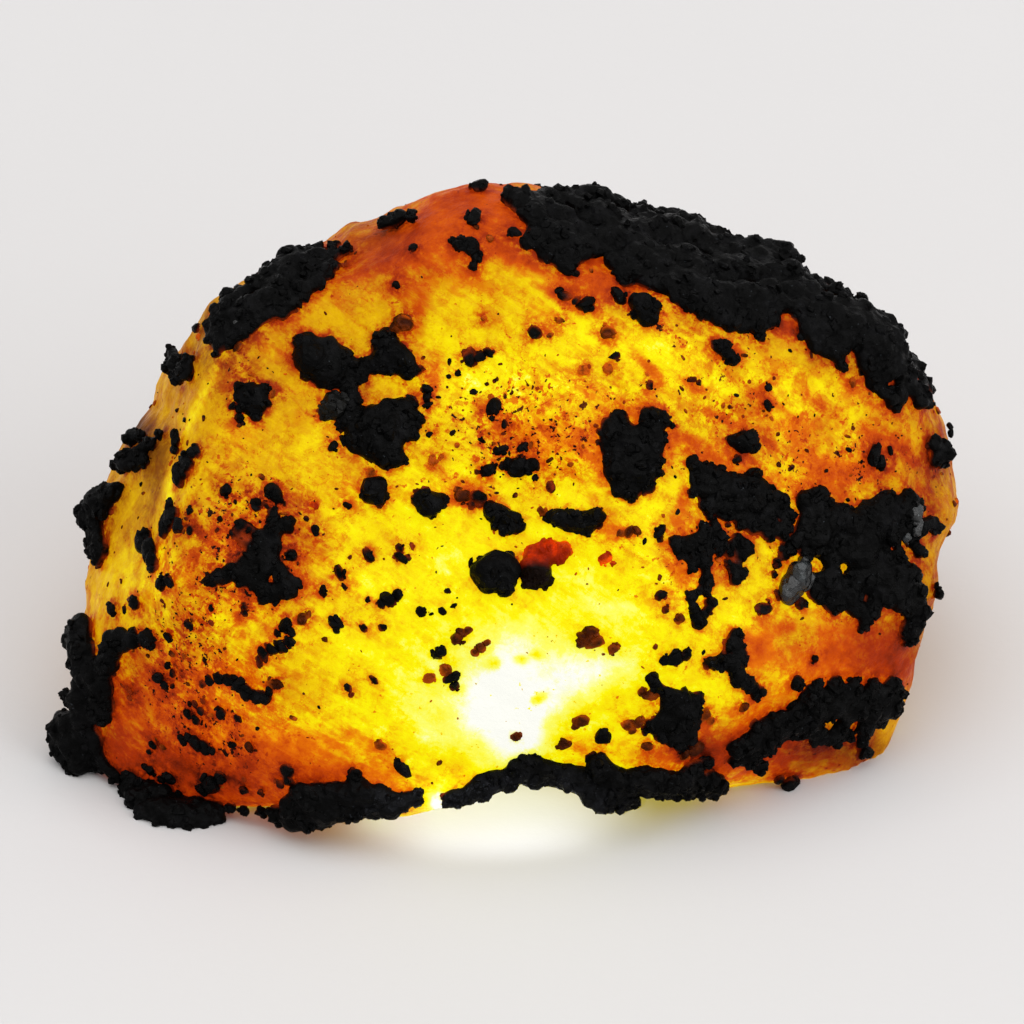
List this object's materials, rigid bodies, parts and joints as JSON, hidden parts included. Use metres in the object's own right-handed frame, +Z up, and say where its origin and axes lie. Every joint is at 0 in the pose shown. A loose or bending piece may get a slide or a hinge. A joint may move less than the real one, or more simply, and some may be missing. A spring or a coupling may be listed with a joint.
{
  "type": "rough sapphire",
  "caption": "A translucent yellow rough sapphire with worn facets, crusted with black matrix minerals, lying on its flat underside",
  "frame": {"origin": "middle of the bounding box, on the ground plane that the flat underside rests on", "axes": "+X along the stone's length, to the viewer's right; +Y to the back; +Z up. The broad bright face looks to -Y and up"},
  "size_m": [0.0457, 0.0321, 0.0283],
  "materials": {
    "sapphire": "translucent amber-yellow corundum with a frosted, water-worn skin, stained orange beside the crusts",
    "black_matrix": "near-black granular iron-titanium oxide and spinel matrix with a slight metallic glint",
    "red_brown_grain": "translucent red-brown grain with a waxy gloss"
  },
  "bodies": {
    "root": {"base_left_crust": "black_matrix", "base_right_crust": "black_matrix", "centre_crust": "black_matrix", "centre_grain": "black_matrix", "centre_left_grain": "black_matrix", "centre_long_grain": "black_matrix", "centre_low_grain": "black_matrix", "centre_pair_grain": "black_matrix", "grey_crystal": "black_matrix", "left_brow_grain": "black_matrix", "left_face_crust": "black_matrix", "left_grain": "black_matrix", "left_rim_crust": "black_matrix", "left_rim_grain": "black_matrix", "left_shoulder_crust": "black_matrix", "lower_left_crust": "black_matrix", "lower_mid_branch": "black_matrix", "lower_mid_crust": "black_matrix", "lower_right_crust": "black_matrix", "mid_right_branch": "black_matrix", "mid_right_crust": "black_matrix", "red_grain": "red_brown_grain", "right_crust": "black_matrix", "right_mid_grain": "black_matrix", "right_rim_grain": "black_matrix", "right_upper_grain": "black_matrix", "sapphire": "sapphire", "top_crust": "black_matrix", "top_left_grain": "black_matrix", "upper_grain": "black_matrix", "upper_left_crust": "black_matrix"}
  },
  "joints": []
}
